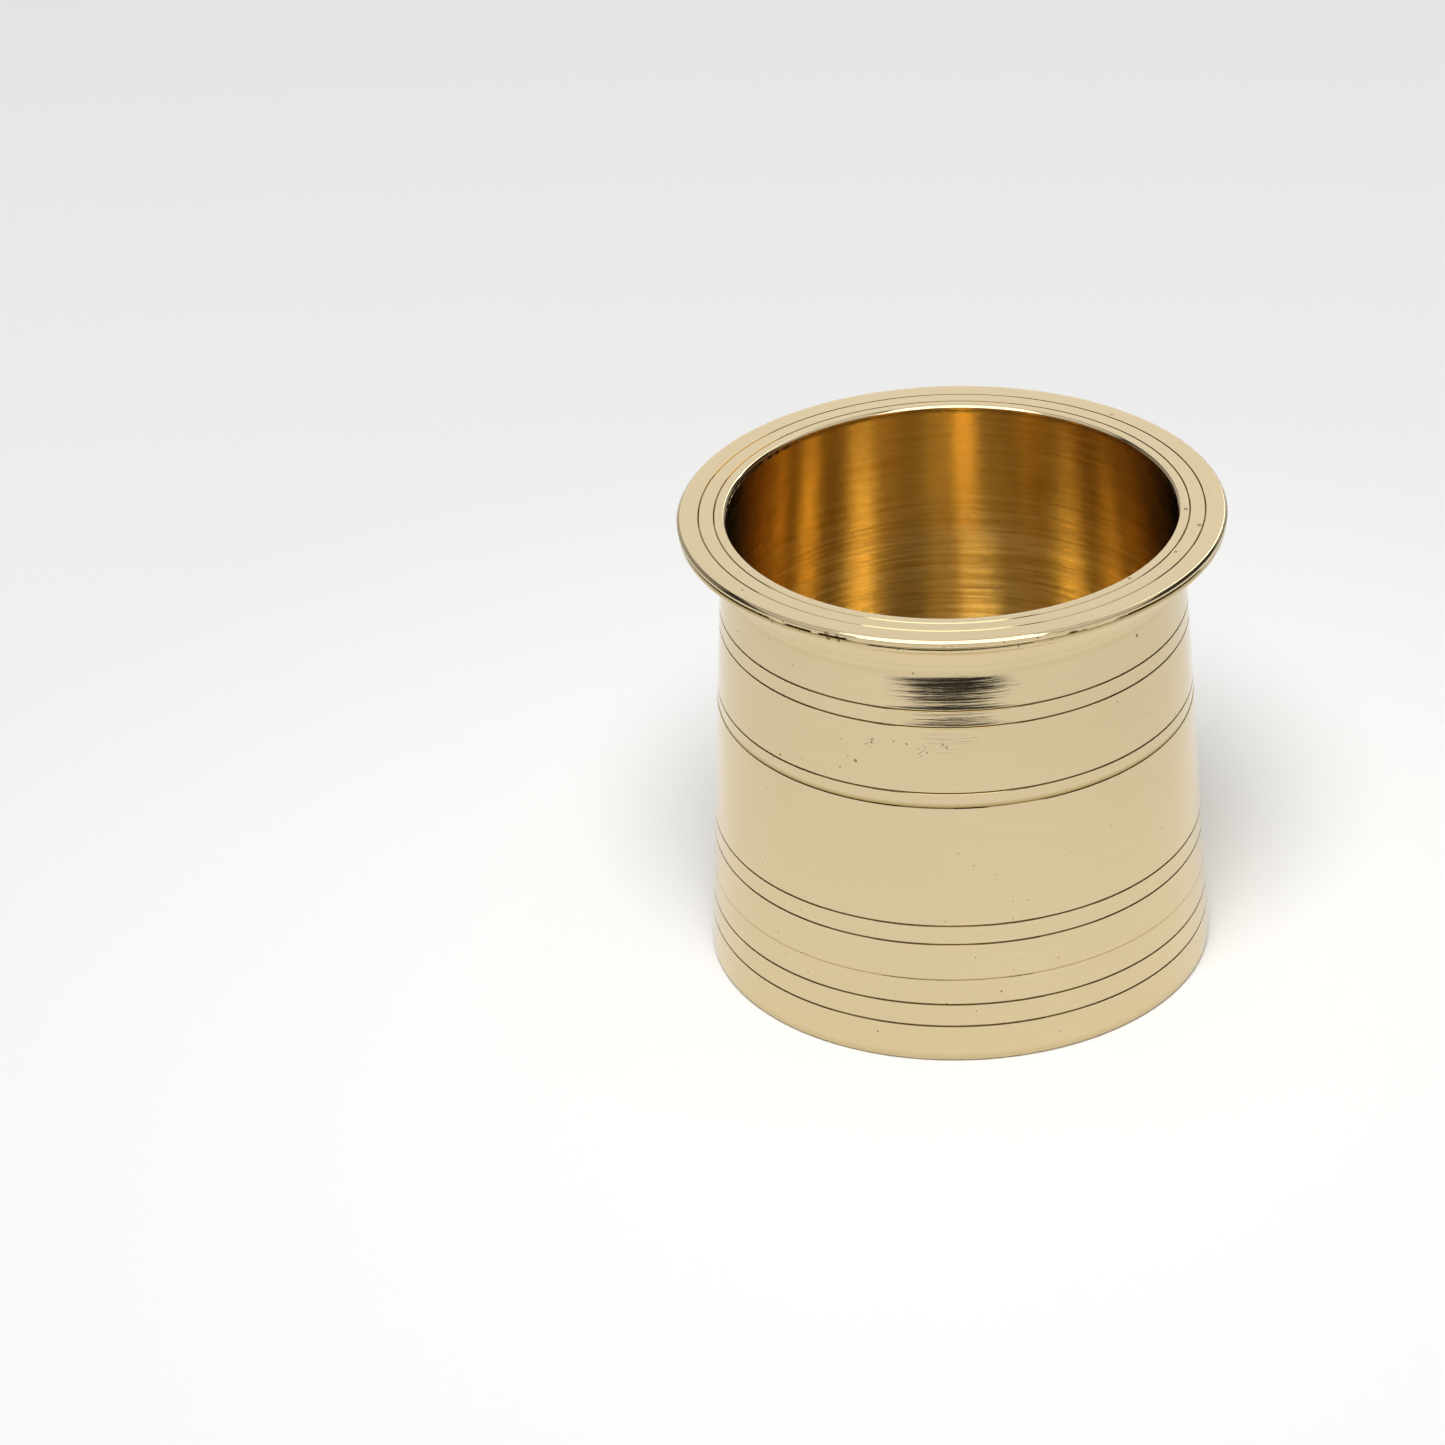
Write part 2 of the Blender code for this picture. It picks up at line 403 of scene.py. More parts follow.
def rim_rows():
    """The flat ring: its top face with two engraved rings, and its broken edges."""
    low, high = MOUTH_RADIUS + RIM_INNER_EDGE, RIM_RADIUS - RIM_EDGE
    soft = RIM_EDGE_ROUND
    places = set(evenly(low, high, RIM_PITCH)) | set(ring_groove_places())
    rows = []
    for r in sorted(place for place in places if low < place < high):
        cut, dirt_and_shade = 0.0, 0.0
        for line in RIM_GROOVE_RADII:
            depth, grime_and_shade = ring_groove(r - line)
            cut, dirt_and_shade = cut + depth, max(dirt_and_shade, grime_and_shade)
        rows.append((r, HEIGHT - cut, dirt_and_shade))
    rows += arc(high, HEIGHT - soft, soft, 90, 45, 4)
    rows += arc(RIM_RADIUS - soft, HEIGHT - RIM_EDGE, soft, 45, -4, 4)
    rows.append((RIM_RADIUS - 0.03 * MM, RING_UNDERSIDE + 0.06 * MM, 0.1))
    rows.append((RIM_RADIUS - 0.09 * MM, RING_UNDERSIDE, 0.4))
    rows.append((RIM_RADIUS - 1.0 * MM, RING_UNDERSIDE, 0.8))
    rows.append((MOUTH_RADIUS + 0.1 * MM, RING_UNDERSIDE, 0.6))
    rows.append((MOUTH_RADIUS, RING_UNDERSIDE + INNER_CORNER, 0.1))
    rows += arc(MOUTH_RADIUS + soft, HEIGHT - RIM_INNER_EDGE, soft, 180, 135, 4)
    rows += arc(low, HEIGHT - soft, soft, 135, 90, 4)
    return rows


def rim_braze_rows():
    """The film of filler between the ring and the lip, with rounded edges."""
    slack = 0.01 * MM
    gap_low, gap_high = LIP_TOP + slack, RING_UNDERSIDE - slack
    middle = (gap_low + gap_high) / 2
    outer, inner = LIP_RADIUS + 0.04 * MM, MOUTH_RADIUS + slack
    return [
        (outer + slack, gap_high, 0.0),
        (outer, middle, 0.0),
        (outer - slack, gap_low, 0.0),
        (inner + slack, gap_low, 0.0),
        (inner, middle, 0.0),
        (inner + slack, gap_high, 0.0),
    ]


def outer_seam(angles):
    """How far the filler is sunken below the rim's edge, in millimetres."""
    azimuths = degrees_round(angles)
    uneven = 0.6 + 0.4 * waves(angles, 5)
    holes = np.clip((waves(angles, 9) - PIT_LEVEL) * PIT_SHARPNESS, 0.0, 1.0)
    sunken = np.zeros_like(angles)
    for start, end in OPEN_SEAM:
        sunken = np.maximum(sunken, OPEN_SUNKEN * stretch(azimuths, start, end, 8.0) * uneven)
    for start, end in PITTED_SEAM:
        sunken = np.maximum(sunken, PITTED_SUNKEN * stretch(azimuths, start, end, 3.0) * holes)
    nick = np.exp(-(((azimuths - NICK_AZIMUTH) / NICK_WIDTH) ** 2))
    sunken = np.maximum(sunken, NICK_SUNKEN * nick * (0.5 + 0.5 * waves(angles, 21)))
    return np.maximum(sunken, FLUSH_SUNKEN * waves(angles, 13))


def rim_braze_warp(angles, radius, z, dirt_and_shade):
    """Filler that is flush with the rim in places, and sunken in others, painted darker the
    deeper it sinks: residue and painted shade.
    """
    if radius[0] > (MOUTH_RADIUS + LIP_RADIUS) / 2:
        sunken = outer_seam(angles)
        return radius - sunken * MM, z, np.clip(sunken / DARK_SUNKEN, 0.0, 1.0)
    sunken = INNER_SUNKEN * waves(angles, 17) ** 3
    return radius + sunken * MM, z, np.clip(sunken / INNER_DARK_SUNKEN, 0.0, 1.0)


# ---------------------------------------------------------------- the base's profiles

DISC_EDGE = 0.15 * MM
DISC_WAVE = 0.012 * MM
DISC_WAVE_LENGTH = 1.4 * MM
LUMP_SIZE = 0.25 * MM


def base_disc_rows():
    edge_r, top, low = DISC_RADIUS - DISC_EDGE, DISC_TOP - DISC_EDGE, DISC_UNDERSIDE + DISC_EDGE
    rows = [(0.0, DISC_TOP, 0.0)]
    rows += [(r, DISC_TOP, 0.0) for r in evenly(1.0 * MM, DISC_RADIUS - 0.2 * MM, 1.2 * MM)]
    rows += arc(edge_r, top, DISC_EDGE, 90, 0, 3, 0.5)
    rows += arc(edge_r, low, DISC_EDGE, 0, -90, 3, 0.7)
    for r in reversed(evenly(1.0 * MM, DISC_RADIUS - 0.4 * MM, 0.8 * MM)):
        rows.append((r, DISC_UNDERSIDE + DISC_WAVE * math.sin(r / DISC_WAVE_LENGTH), 0.15))
    rows.append((0.0, DISC_UNDERSIDE, 0.3))
    return rows


def base_braze_rows():
    """A hollow fillet between the disc's underside and the foot."""
    leg = FILLET_TOP - FILLET_BOTTOM
    rows = [(FILLET_RADIUS, FILLET_TOP, 0.6), (FILLET_RADIUS, FILLET_BOTTOM, 0.8)]
    rows += arc(FILLET_RADIUS - leg, FILLET_BOTTOM, leg, 4, 86, 8, 0.6)
    rows.append((FILLET_RADIUS - leg, FILLET_TOP, 0.8))
    return rows


def base_braze_warp(angles, radius, z, dirt_and_shade):
    """The lumpy surface of a hand-brazed fillet."""
    shift = LUMP_SIZE * waves(angles, 11, 53) * (radius < FILLET_RADIUS - 0.01 * MM)
    return radius + shift, z, np.clip(dirt_and_shade * (0.5 + waves(angles, 12)), 0.0, 1.0)


# ---------------------------------------------------------------- material nodes

class Nodes:
    """Short calls for building one material's node tree."""

    def __init__(self, name):
        self.material = bpy.data.materials.new(name)
        self.material.use_nodes = True
        self.tree = self.material.node_tree
        self.shader = self.tree.nodes["Principled BSDF"]

    def add(self, kind, inputs=None, **settings):
        node = self.tree.nodes.new(kind)
        for key, value in settings.items():
            setattr(node, key, value)
        for key, value in (inputs or {}).items():
            self.put(node.inputs[key], value)
        return node

    def put(self, socket, value):
        if isinstance(value, bpy.types.NodeSocket):
            self.tree.links.new(value, socket)
        else:
            socket.default_value = value

    def shade(self, key, value):
        """Sets one of the shader's own sockets, or links a pattern to it."""
        self.put(self.shader.inputs[key], value)

    def maths(self, operation, first, second=0.0, clamp=False):
        keys = {0: first, 1: second}
        return self.add("ShaderNodeMath", keys, operation=operation, use_clamp=clamp).outputs[0]

    def vector(self, operation, first, second=(0.0, 0.0, 0.0), output=0):
        keys = {0: first, 1: second}
        return self.add("ShaderNodeVectorMath", keys, operation=operation).outputs[output]

    def spread(self, value, low, high, out_low=0.0, out_high=1.0):
        """Maps low to high onto out_low to out_high, and stays within them."""
        keys = {"Value": value, "From Min": low, "From Max": high}
        keys |= {"To Min": out_low, "To Max": out_high}
        return self.add("ShaderNodeMapRange", keys, clamp=True).outputs[0]

    def mix(self, share, first, second):
        node = self.add("ShaderNodeMix", data_type="RGBA")
        self.put(node.inputs[0], share)
        self.put(node.inputs[6], first)
        self.put(node.inputs[7], second)
        return node.outputs[2]

    def noise(self, vector, scale, detail=2.0, roughness=0.5):
        keys = {"Vector": vector, "Scale": scale, "Detail": detail, "Roughness": roughness}
        return self.add("ShaderNodeTexNoise", keys).outputs[0]

    def place(self):
        """The place of a point on the pot, in metres."""
        return self.add("ShaderNodeTexCoord").outputs["Object"]

    def grime_and_shade(self):
        """The share of dark residue and painted shade that the mesh carries, from 0 to 1."""
        return self.add("ShaderNodeAttribute", attribute_name="grime_and_shade").outputs["Fac"]

    def relief(self, height, distance, strength=1.0):
        keys = {"Strength": strength, "Distance": distance, "Height": height}
        self.shade("Normal", self.add("ShaderNodeBump", keys).outputs[0])


def rgba(colour):
    return (*colour, 1.0)


def tinted(colour, tint):
    return rgba([channel * share for channel, share in zip(colour, tint)])


# ---------------------------------------------------------------- brass

# Painted shade for the grooves: a gold for the golden reflection on their slopes, and a brown for
# residue with painted shade in their bottoms, which pores take too
LINE_PAINTED_SHADE_GOLD = (0.33, 0.225, 0.055, 1.0)
LINE_DIRT_AND_SHADE_BROWN = (0.080, 0.040, 0.009, 1.0)
# The filler's dark colour: residue together with painted shade, in the sunken seams and the base
# fillet
FILLER_DARK = (0.035, 0.018, 0.006, 1.0)
WORN_TINT = (0.95, 0.945, 0.93)

PORE_CELL = 1.1 * MM
PORE_SIZE = 0.12
PORE_RARITY = 0.965
PORE_CROWDING = 0.35
PORE_DEPTH = 0.010 * MM
# A spot wider than this, in millimetres, is a cluster of specks
CLUSTER_SIZE = 1.0

# Scales of the noises: turning marks in lines per millimetre, the others in waves per metre
MARK_STRETCH = (1.2, 1.2, 1.0)
FINE_LINES = 2.5
COARSE_LINES = 1.4
BROAD_LINES = 0.8
BROAD_SHARE = 1.6
BUFFING_SCALE = 34.0
CROWD_SCALE = 60.0
RAGGED_SCALE = 2600.0
BLOTCH_SCALE = 900.0
GRAIN_SCALE = 2500.0

# The most that the gold painted shade, the brown residue with painted shade, and a pore cover of
# the brass
PAINTED_SHADE_GOLD_COVER = 0.95
BROWN_COVER = 0.90
PORE_COVER = 0.70

MARKS_FADE = 9 * MM
MARKS_LEFT = 0.15
MARKS_ROUGHNESS = 0.10
DIRT_ROUGHNESS = 0.30


def turning_coordinates(nodes, place):
    """Where a point lies round the pot and along its profile.

    Returns a vector whose first two values turn slowly round the pot and whose third runs
    across the turning marks, in millimetres; and the height in metres.
    """
    parts = nodes.add("ShaderNodeSeparateXYZ", {0: place})
    keys = {0: parts.outputs[0], 1: parts.outputs[1], 2: 0.0}
    flat = nodes.add("ShaderNodeCombineXYZ", keys).outputs[0]
    length = nodes.vector("LENGTH", flat, output="Value")
    around = nodes.add("ShaderNodeSeparateXYZ", {0: nodes.vector("NORMALIZE", flat)})
    across = nodes.maths("MULTIPLY", nodes.maths("ADD", length, parts.outputs[2]), 1 / MM)
    keys = {0: around.outputs[0], 1: around.outputs[1], 2: across}
    return nodes.add("ShaderNodeCombineXYZ", keys).outputs[0], parts.outputs[2]


def scattered_pores(nodes, place):
    """Small casting pores in random cells, more of them in some areas than in others."""
    keys = {"Vector": place, "Scale": 1.0 / PORE_CELL, "Randomness": 1.0}
    cells = nodes.add("ShaderNodeTexVoronoi", keys)
    lucky = nodes.add("ShaderNodeSeparateColor", {0: cells.outputs["Color"]}).outputs[0]
    crowd = nodes.noise(place, CROWD_SCALE, 2.0)
    level = nodes.spread(crowd, 0.52, 0.72, PORE_RARITY, PORE_RARITY - PORE_CROWDING)
    chosen = nodes.maths("GREATER_THAN", lucky, level)
    disc = nodes.spread(cells.outputs["Distance"], PORE_SIZE * 0.5, PORE_SIZE, 1.0, 0.0)
    return nodes.maths("MULTIPLY", chosen, disc)


def placed_spot(nodes, place, uneven, azimuth, radius, height, size):
    """One ragged pore, or a cluster of specks. Sizes are in millimetres."""
    turn = math.radians(azimuth)
    centre = (radius * MM * math.sin(turn), -radius * MM * math.cos(turn), height * MM)
    away = nodes.vector("DISTANCE", place, centre, output="Value")
    away = nodes.maths("DIVIDE", away, nodes.maths("ADD", uneven, 0.5))
    spot = nodes.spread(away, 0.35 * size * MM, 0.5 * size * MM, 1.0, 0.0)
    if size > CLUSTER_SIZE:
        spot = nodes.maths("MULTIPLY", spot, nodes.spread(uneven, 0.57, 0.63))
    return spot


def pores(nodes, place, spots):
    """1 inside a pore and 0 outside: scattered small ones, and listed spots."""
    total = scattered_pores(nodes, place)
    uneven = nodes.noise(place, RAGGED_SCALE, 2.0)
    for spot in spots:
        total = nodes.maths("MAXIMUM", total, placed_spot(nodes, place, uneven, *spot))
    return total


def brass(name, colour, line_tint, roughness, streak, mark_depth, anisotropic,
          lines_per_mm=FINE_LINES, spots=(), marks_below=None, edge_tint=1.0):
    """Turned and buffed brass.

    mark_depth is the height of the turning marks in metres, streak is how much of the
    roughness follows them, and line_tint is what they leave of the colour. edge_tint dims the
    reflection at a glancing angle. With marks_below, the marks fade out above that height.
    """
    nodes = Nodes(name)
    place = nodes.place()
    marks, height = turning_coordinates(nodes, place)
    stretched = nodes.vector("MULTIPLY", marks, MARK_STRETCH)
    fine = nodes.noise(stretched, lines_per_mm, 3.0, 0.65)
    broad = nodes.noise(stretched, BROAD_LINES, 2.0, 0.5)
    holes = pores(nodes, place, spots)
    shown = 1.0
    if marks_below is not None:
        shown = nodes.spread(height, marks_below - MARKS_FADE, marks_below, 1.0, MARKS_LEFT)

    # colour: buffed and worn patches, turning lines, then gold painted shade and brown residue
    # with painted shade
    grime_and_shade = nodes.grime_and_shade()
    buffed = nodes.spread(nodes.noise(place, BUFFING_SCALE, 3.0), 0.35, 0.70)
    base = nodes.mix(buffed, tinted(colour, WORN_TINT), rgba(colour))
    lines = nodes.maths("MULTIPLY", nodes.spread(fine, 0.56, 0.44), shown)
    base = nodes.mix(lines, base, tinted(colour, line_tint))
    # painted shade: the grime_and_shade share paints the grooves gold, then brown
    base = nodes.mix(nodes.spread(grime_and_shade, 0.0, 0.40, 0.0, PAINTED_SHADE_GOLD_COVER), base, LINE_PAINTED_SHADE_GOLD)
    dirt_and_shade = nodes.maths("MULTIPLY", nodes.spread(grime_and_shade, 0.45, 0.90), BROWN_COVER)
    dirt_and_shade = nodes.maths("MAXIMUM", dirt_and_shade, nodes.maths("MULTIPLY", holes, PORE_COVER))
    nodes.shade("Base Color", nodes.mix(dirt_and_shade, base, LINE_DIRT_AND_SHADE_BROWN))
    nodes.shade("Metallic", nodes.spread(dirt_and_shade, 0.1, 0.8, 1.0, 0.3))
    nodes.shade("Specular Tint", (edge_tint, edge_tint, edge_tint, 1.0))
    nodes.shade("Specular IOR Level", 0.1)

    # roughness, and its stretch across the turning marks
    rough = nodes.spread(fine, 0.35, 0.65, roughness - streak, roughness + streak)
    if marks_below is not None:
        rough = nodes.maths("ADD", rough, nodes.maths("MULTIPLY", shown, MARKS_ROUGHNESS))
    dirt_and_shade_part = nodes.maths("MULTIPLY", dirt_and_shade, DIRT_ROUGHNESS)
    nodes.shade("Roughness", nodes.maths("ADD", rough, dirt_and_shade_part, clamp=True))
    nodes.shade("Anisotropic", anisotropic)
    nodes.shade("Anisotropic Rotation", 0.25)
    tangent = nodes.add("ShaderNodeTangent", direction_type="RADIAL", axis="Z")
    nodes.shade("Tangent", tangent.outputs[0])

    # relief of the turning marks and the pores
    relief = nodes.maths("ADD", fine, nodes.maths("MULTIPLY", broad, BROAD_SHARE))
    relief = nodes.maths("MULTIPLY", relief, shown)
    pits = nodes.maths("MULTIPLY", holes, PORE_DEPTH / mark_depth)
    nodes.relief(nodes.maths("SUBTRACT", relief, pits), mark_depth)
    return nodes.material


def filler(name, bright):
    """Brazing filler: brass-coloured where it is flush, dark and rough where the mesh carries
    residue and painted shade, and in random blotches.
    """
    nodes = Nodes(name)
    place = nodes.place()
    blotch = nodes.spread(nodes.noise(place, BLOTCH_SCALE, 4.0), 0.3, 0.7, -0.35, 0.35)
    dark = nodes.spread(nodes.maths("ADD", nodes.grime_and_shade(), blotch), 0.25, 0.75)
    nodes.shade("Base Color", nodes.mix(dark, rgba(bright), FILLER_DARK))
    nodes.shade("Metallic", 1.0)
    nodes.shade("Roughness", nodes.spread(dark, 0.0, 1.0, 0.16, 0.55))
    nodes.relief(nodes.noise(place, GRAIN_SCALE, 3.0), 0.03 * MM, 0.8)
    return nodes.material


# ---------------------------------------------------------------- studio

FLOOR_SIZE = 2.5
PAPER_NEAR, PAPER_FAR = 0.07, 0.17
PAPER_PALE = (0.91, 0.91, 0.91, 1.0)
# Painted light: paper close to the pot is painted paler, a painted pool of light
PAPER_PAINTED_LIGHT = (0.99, 0.99, 0.985, 1.0)
MATT = 0.9

KEY_PLACE = (-5.0, 62.0, 2.2)
KEY_SIZE = 1.3
KEY_ENERGY = 42.0

ROOM_GLOW = 0.05
ROOM_COLOUR = (1.0, 0.97, 0.93, 1.0)
SKY_GLOW = 0.30

# Panels: the azimuths of the lower edge's ends and of the upper edge's, the elevations of the
# two edges, their glows and the distance. The panels farther away lie behind the others.
NEAR_PANEL, FAR_PANEL = 1.5, 1.6
PANELS = (
    ("backdrop", (170, 196), (170, 196), (-8, 46), (1.5, 0.80), NEAR_PANEL),
    ("window_back", (131, 170), (131, 170), (23, 54), (6.4, 3.2), NEAR_PANEL),
    ("backdrop_left", (196, 250), (196, 250), (-8, 42), (0.75, 0.02), NEAR_PANEL),
    ("side_left", (252, 318), (252, 301), (37, 62), (0.60, 0.90), NEAR_PANEL),
    ("side_right", (40, 128), (52, 128), (37, 62), (0.60, 0.90), NEAR_PANEL),
    ("softbox", (-62, 52), (-59, 2), (48, 80), (2.6, 2.6), NEAR_PANEL),
    ("horizon", (250, 530), (250, 530), (-4, 15), (0.50, 0.30), FAR_PANEL),
    ("ceiling", (-180, 180), (-180, 180), (66, 89.9), (0.8, 0.8), FAR_PANEL),
    ("window_left", (-27, -2), (-27, -2), (16, 40), (0.45, 0.45), NEAR_PANEL),
    ("window_right", (14, 40), (14, 40), (12, 40), (1.0, 1.0), NEAR_PANEL),
)
PANEL_STEP = 8

# The dark gap's corners on the floor: azimuth and distance from the pot's axis
GAP_CORNERS = ((5.0, 0.164), (-32.0, 0.190), (-32.0, 0.25), (29.0, 0.25), (29.0, 0.190))
GAP_LIFT = 0.3 * MM
GAP_COLOUR = (0.03, 0.03, 0.03)


def paint(name, colour):
    nodes = Nodes(name)
    nodes.shade("Base Color", rgba(colour))
    nodes.shade("Roughness", MATT)
    nodes.shade("Specular IOR Level", 0.0)
    return nodes.material


def paper():
    """Pale paper with a painted pool of light: a little paler close to the pot's axis."""
    nodes = Nodes("paper")
    away = nodes.vector("LENGTH", nodes.place(), output="Value")
    near = nodes.spread(away, PAPER_NEAR, PAPER_FAR, 1.0, 0.0)
    nodes.shade("Base Color", nodes.mix(near, PAPER_PALE, PAPER_PAINTED_LIGHT))
    nodes.shade("Roughness", MATT)
    nodes.shade("Specular IOR Level", 0.0)
    return nodes.material


def glowing(name):
    """A material that glows as bright as the mesh's glow attribute says."""
    material = bpy.data.materials.new(name)
    material.use_nodes = True
    tree = material.node_tree
    tree.nodes.clear()
    strength = tree.nodes.new("ShaderNodeAttribute")
    strength.attribute_name = "glow"
    emission = tree.nodes.new("ShaderNodeEmission")
    tree.links.new(strength.outputs["Fac"], emission.inputs["Strength"])
    output = tree.nodes.new("ShaderNodeOutputMaterial")
    tree.links.new(emission.outputs[0], output.inputs[0])
    return material


def stage_piece(name, verts, faces, material, seen=False):
    """A piece of the studio; the camera sees it only if it is meant to."""
    mesh = bpy.data.meshes.new(name)
    mesh.from_pydata(verts, [], faces)
    mesh.materials.append(material)
    obj = bpy.data.objects.new(name, mesh)
    bpy.context.scene.collection.objects.link(obj)
    obj.visible_camera = seen
    return obj


def polar(azimuth, elevation, distance):
    """A point seen from the middle of the pot."""
    turn, lift = math.radians(azimuth), math.radians(elevation)
    return (
        distance * math.cos(lift) * math.sin(turn),
        -distance * math.cos(lift) * math.cos(turn),
        HEIGHT / 2 + distance * math.sin(lift),
    )


def on_floor(azimuth, distance):
    turn = math.radians(azimuth)
    return (distance * math.sin(turn), -distance * math.cos(turn), GAP_LIFT)


def panel(name, low_edge, high_edge, elevations, glows, distance):
    """A soft panel that fills a patch of the sky as seen from the pot, for reflections only."""
    steps = max(2, round(abs(low_edge[1] - low_edge[0]) / PANEL_STEP))
    verts = []
    glow = []
    for (left, right), elevation, strength in zip((low_edge, high_edge), elevations, glows):
        azimuths = [left + (right - left) * k / steps for k in range(steps + 1)]
        verts += [polar(azimuth, elevation, distance) for azimuth in azimuths]
        glow += [strength] * (steps + 1)
    faces = [[k, k + 1, k + steps + 2, k + steps + 1] for k in range(steps)]
    obj = stage_piece(name, verts, faces, glowing(name))
    obj.data.attributes.new("glow", "FLOAT", "POINT").data.foreach_set("value", glow)
    obj.visible_diffuse = False
    obj.visible_shadow = False


def dark_gap():
    """The gap where the paper ends, on the camera's side, for reflections only."""
    corners = [on_floor(azimuth, distance) for azimuth, distance in GAP_CORNERS]
    outline = list(range(len(corners)))
    gap = stage_piece("dark_gap", corners, [outline], paint("dark_gap", GAP_COLOUR))
    gap.visible_diffuse = False
    gap.visible_shadow = False


def area_light(name, location, size, energy):
    """A round soft light aimed at the pot, which isn't mirrored."""
    data = bpy.data.lights.new(name, "AREA")
    data.shape = "DISK"
    data.size = size
    data.energy = energy
    light = bpy.data.objects.new(name, data)
    light.location = location
    direction = Vector((0.0, 0.0, HEIGHT / 2)) - light.location
    light.rotation_euler = direction.to_track_quat("-Z", "Y").to_euler()
    light.visible_glossy = False
    bpy.context.scene.collection.objects.link(light)


def room():
    """A pale sky for the floor and the camera, which the brass mirrors as a dim room."""
    world = bpy.data.worlds.new("studio")
    bpy.context.scene.world = world
    world.use_nodes = True
    tree = world.node_tree
    sky = tree.nodes["Background"]
    sky.inputs["Color"].default_value = (1.0, 1.0, 1.0, 1.0)
    sky.inputs["Strength"].default_value = SKY_GLOW
    dim = tree.nodes.new("ShaderNodeBackground")
    dim.inputs["Color"].default_value = ROOM_COLOUR
    dim.inputs["Strength"].default_value = ROOM_GLOW
    path = tree.nodes.new("ShaderNodeLightPath")
    blend = tree.nodes.new("ShaderNodeMixShader")
    tree.links.new(path.outputs["Is Glossy Ray"], blend.inputs[0])
    tree.links.new(sky.outputs[0], blend.inputs[1])
    tree.links.new(dim.outputs[0], blend.inputs[2])
    tree.links.new(blend.outputs[0], tree.nodes["World Output"].inputs["Surface"])


def studio():
    room()
    size = FLOOR_SIZE
    floor = [(-size, -size, 0.0), (size, -size, 0.0), (size, size, 0.0), (-size, size, 0.0)]
    stage_piece("floor", floor, [[0, 1, 2, 3]], paper(), seen=True)
    area_light("key", polar(*KEY_PLACE), KEY_SIZE, KEY_ENERGY)
    for row in PANELS:
        panel(*row)
    dark_gap()


# ---------------------------------------------------------------- camera

CAMERA_DISTANCE = 0.90
CAMERA_ELEVATION = math.radians(29.8)
CAMERA_ROLL = math.radians(-2.48)
AIM_POINT = (-0.0346, 0.0, 0.0364)
LENS_MM = 151.2
SENSOR_MM = 36.0


def camera():
    data = bpy.data.cameras.new("camera")
    data.lens = LENS_MM
    data.sensor_width = SENSOR_MM
    data.clip_start = 0.01
    obj = bpy.data.objects.new("camera", data)
    away = CAMERA_DISTANCE * math.cos(CAMERA_ELEVATION)
    up = CAMERA_DISTANCE * math.sin(CAMERA_ELEVATION)
    obj.location = (0.0, -away, HEIGHT / 2 + up)
    look = Vector(AIM_POINT) - obj.location
    facing = look.to_track_quat("-Z", "Y")
    roll = Matrix.Rotation(CAMERA_ROLL, 3, "Z")
    obj.rotation_euler = (facing.to_matrix() @ roll).to_euler()
    bpy.context.scene.collection.objects.link(obj)
    bpy.context.scene.camera = obj


# ---------------------------------------------------------------- the pot

BRASS = (0.70, 0.572, 0.352)
# Painted light: a paler copy of the brass for the bore, the mouth's side and the base disc,
# painted lighter so that the deep inside looks brighter
INNER_BRASS_PAINTED_LIGHTER = (0.93, 0.780, 0.46)
BASE_BRASS = (0.78, 0.63, 0.37)
OUTER_LINE_TINT = (0.965, 0.96, 0.95)
INNER_LINE_TINT = (0.89, 0.85, 0.73)

# The largest pores and stains: azimuth, radius, height and size, the last three in millimetres
WALL_SPOTS = (
    (-10.0, 34.1, 62.9, 0.4),
    (-21.0, 34.6, 51.2, 1.8),
    (-14.9, 34.6, 51.8, 0.30),
    (-11.8, 34.6, 51.6, 0.32),
    (-8.1, 34.7, 50.6, 1.8),
    (-2.7, 34.6, 51.5, 1.2),
    (-24.5, 34.8, 47.8, 0.55),
    (-28.6, 34.9, 46.2, 0.28),
    (-26.5, 34.8, 48.2, 0.25),
    (-46.6, 35.0, 44.6, 0.45),
    (9.0, 36.8, 11.3, 0.40),
    (-19.4, 37.2, 4.0, 0.35),
    (50.0, 34.0, 61.8, 0.6),
    (-66.0, 34.1, 59.5, 0.4),
    (-26.3, 39.9, 70.2, 0.9),
    (-24.0, 39.9, 70.1, 0.6),
    (-40.0, 39.9, 70.0, 0.35),
    (-33.0, 39.9, 70.1, 0.30),
    (7.0, 39.9, 70.1, 0.35),
    (13.0, 39.9, 69.9, 0.35),
    (20.0, 39.9, 70.1, 0.30),
)
RIM_SPOTS = (
    (48.0, 33.7, 71.4, 0.7),
    (65.0, 35.1, 71.4, 0.8),
    (79.0, 36.3, 71.4, 0.9),
    (87.0, 33.9, 71.4, 0.9),
    (140.0, 37.6, 71.4, 0.6),
    (-52.0, 38.0, 71.4, 0.4),
    (-26.6, 39.98, 70.75, 0.95),
    (-24.3, 39.98, 70.7, 0.8),
    (-22.6, 39.98, 70.7, 0.4),
    (-37.0, 39.98, 70.8, 0.35),
    (10.0, 39.98, 70.8, 0.35),
    (17.0, 39.98, 70.8, 0.40),
)


def outside_brass():
    return brass(
        "turned_brass", BRASS, OUTER_LINE_TINT, spots=WALL_SPOTS,
        roughness=0.055, streak=0.02, mark_depth=0.007 * MM, anisotropic=0.5,
    )


def inside_brass():
    return brass(
        "bored_brass", INNER_BRASS_PAINTED_LIGHTER, INNER_LINE_TINT, lines_per_mm=COARSE_LINES,
        roughness=0.095, streak=0.04, mark_depth=0.030 * MM, anisotropic=0.85,
        marks_below=BORE_MARKS_TOP, edge_tint=0.50,
    )


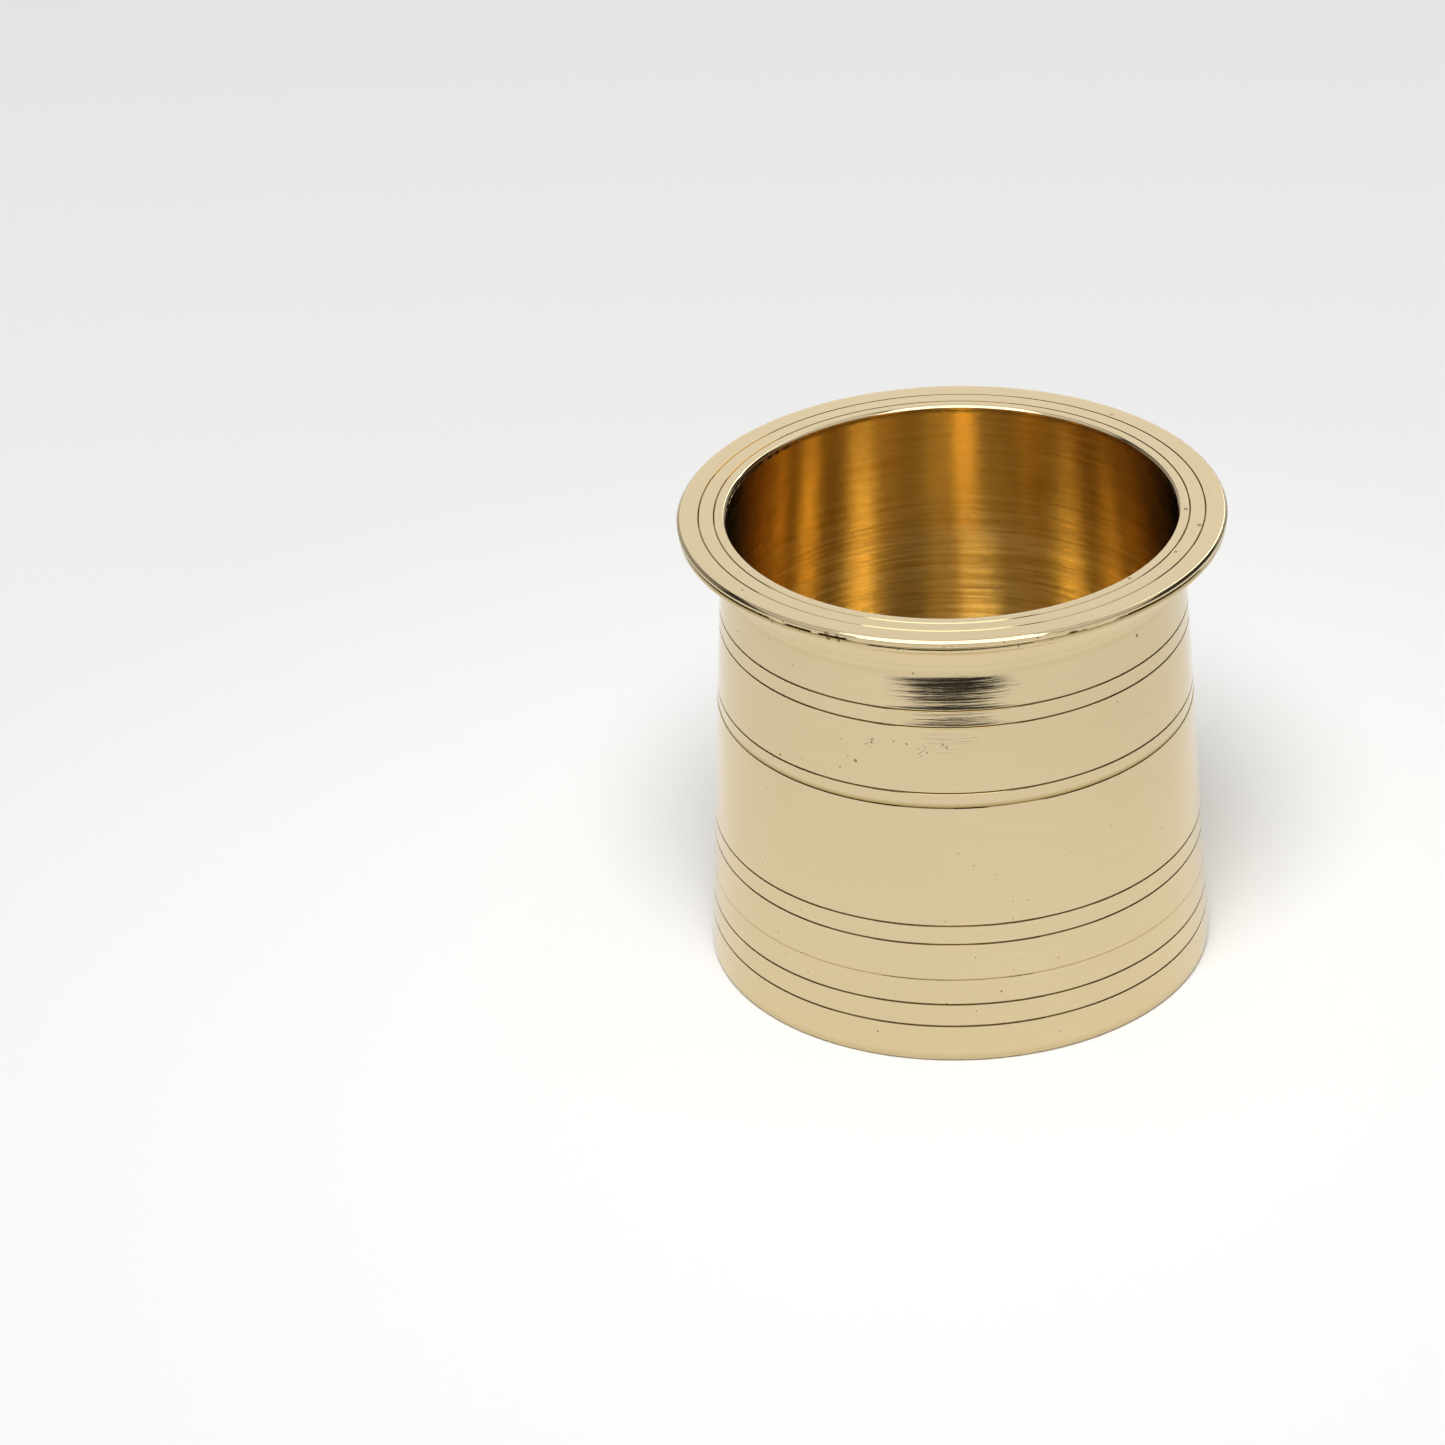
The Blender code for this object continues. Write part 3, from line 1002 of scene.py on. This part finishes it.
def rim_brass():
    return brass(
        "rim_brass", BRASS, OUTER_LINE_TINT, spots=RIM_SPOTS,
        roughness=0.09, streak=0.03, mark_depth=0.0020 * MM, anisotropic=0.4,
    )


def floor_brass():
    return brass(
        "base_brass", INNER_BRASS_PAINTED_LIGHTER, INNER_LINE_TINT, lines_per_mm=COARSE_LINES,
        roughness=0.20, streak=0.05, mark_depth=0.03 * MM, anisotropic=0.8,
    )


def wall_is_inside(face):
    """Whether a face of the wall belongs to the bore, and not to the outside."""
    x, y, z = face.center
    return z > SEAT_Z + 0.1 * MM and math.hypot(x, y) < bore_radius(z) + 0.05 * MM


def rim_is_inside(face):
    """Whether a face of the rim ring belongs to the mouth's upright side."""
    return math.hypot(face.center.x, face.center.y) < MOUTH_RADIUS + 0.02 * MM


def finish_piece(piece, node, slot, *materials):
    for material in materials:
        piece.data.materials.append(material)
    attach(piece, "root")
    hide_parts(node)


def use_second_material(piece, test):
    for face in piece.data.polygons:
        face.material_index = int(test(face))


def pot():
    outside = outside_brass()
    inside = inside_brass()
    wall = lathe("wall", wall_rows())
    finish_piece(wall, "pot_wall", "wall_brass", outside, inside)
    use_second_material(wall, wall_is_inside)
    ring = lathe("rim", rim_rows())
    finish_piece(ring, "rim_ring", "rim_brass", rim_brass(), inside)
    use_second_material(ring, rim_is_inside)
    disc = lathe("base", base_disc_rows(), BASE_SEGMENTS)
    finish_piece(disc, "base_disc", "base_brass", floor_brass())
    seam = lathe("rim_seam", rim_braze_rows(), RIM_SEAM_SEGMENTS, rim_braze_warp)
    finish_piece(seam, "rim_braze", "rim_filler", filler("rim_filler", BRASS))
    fillet = lathe("base_seam", base_braze_rows(), BASE_SEAM_SEGMENTS, base_braze_warp)
    finish_piece(fillet, "base_braze", "base_filler", filler("base_filler", BASE_BRASS))


# ---------------------------------------------------------------- render settings

LIGHT_BOUNCES = 24
MIRROR_BOUNCES = 20


def main():
    camera()
    studio()
    pot()
    scene = bpy.context.scene
    scene.view_settings.view_transform = "Standard"
    scene.cycles.max_bounces = LIGHT_BOUNCES
    scene.cycles.glossy_bounces = MIRROR_BOUNCES


main()
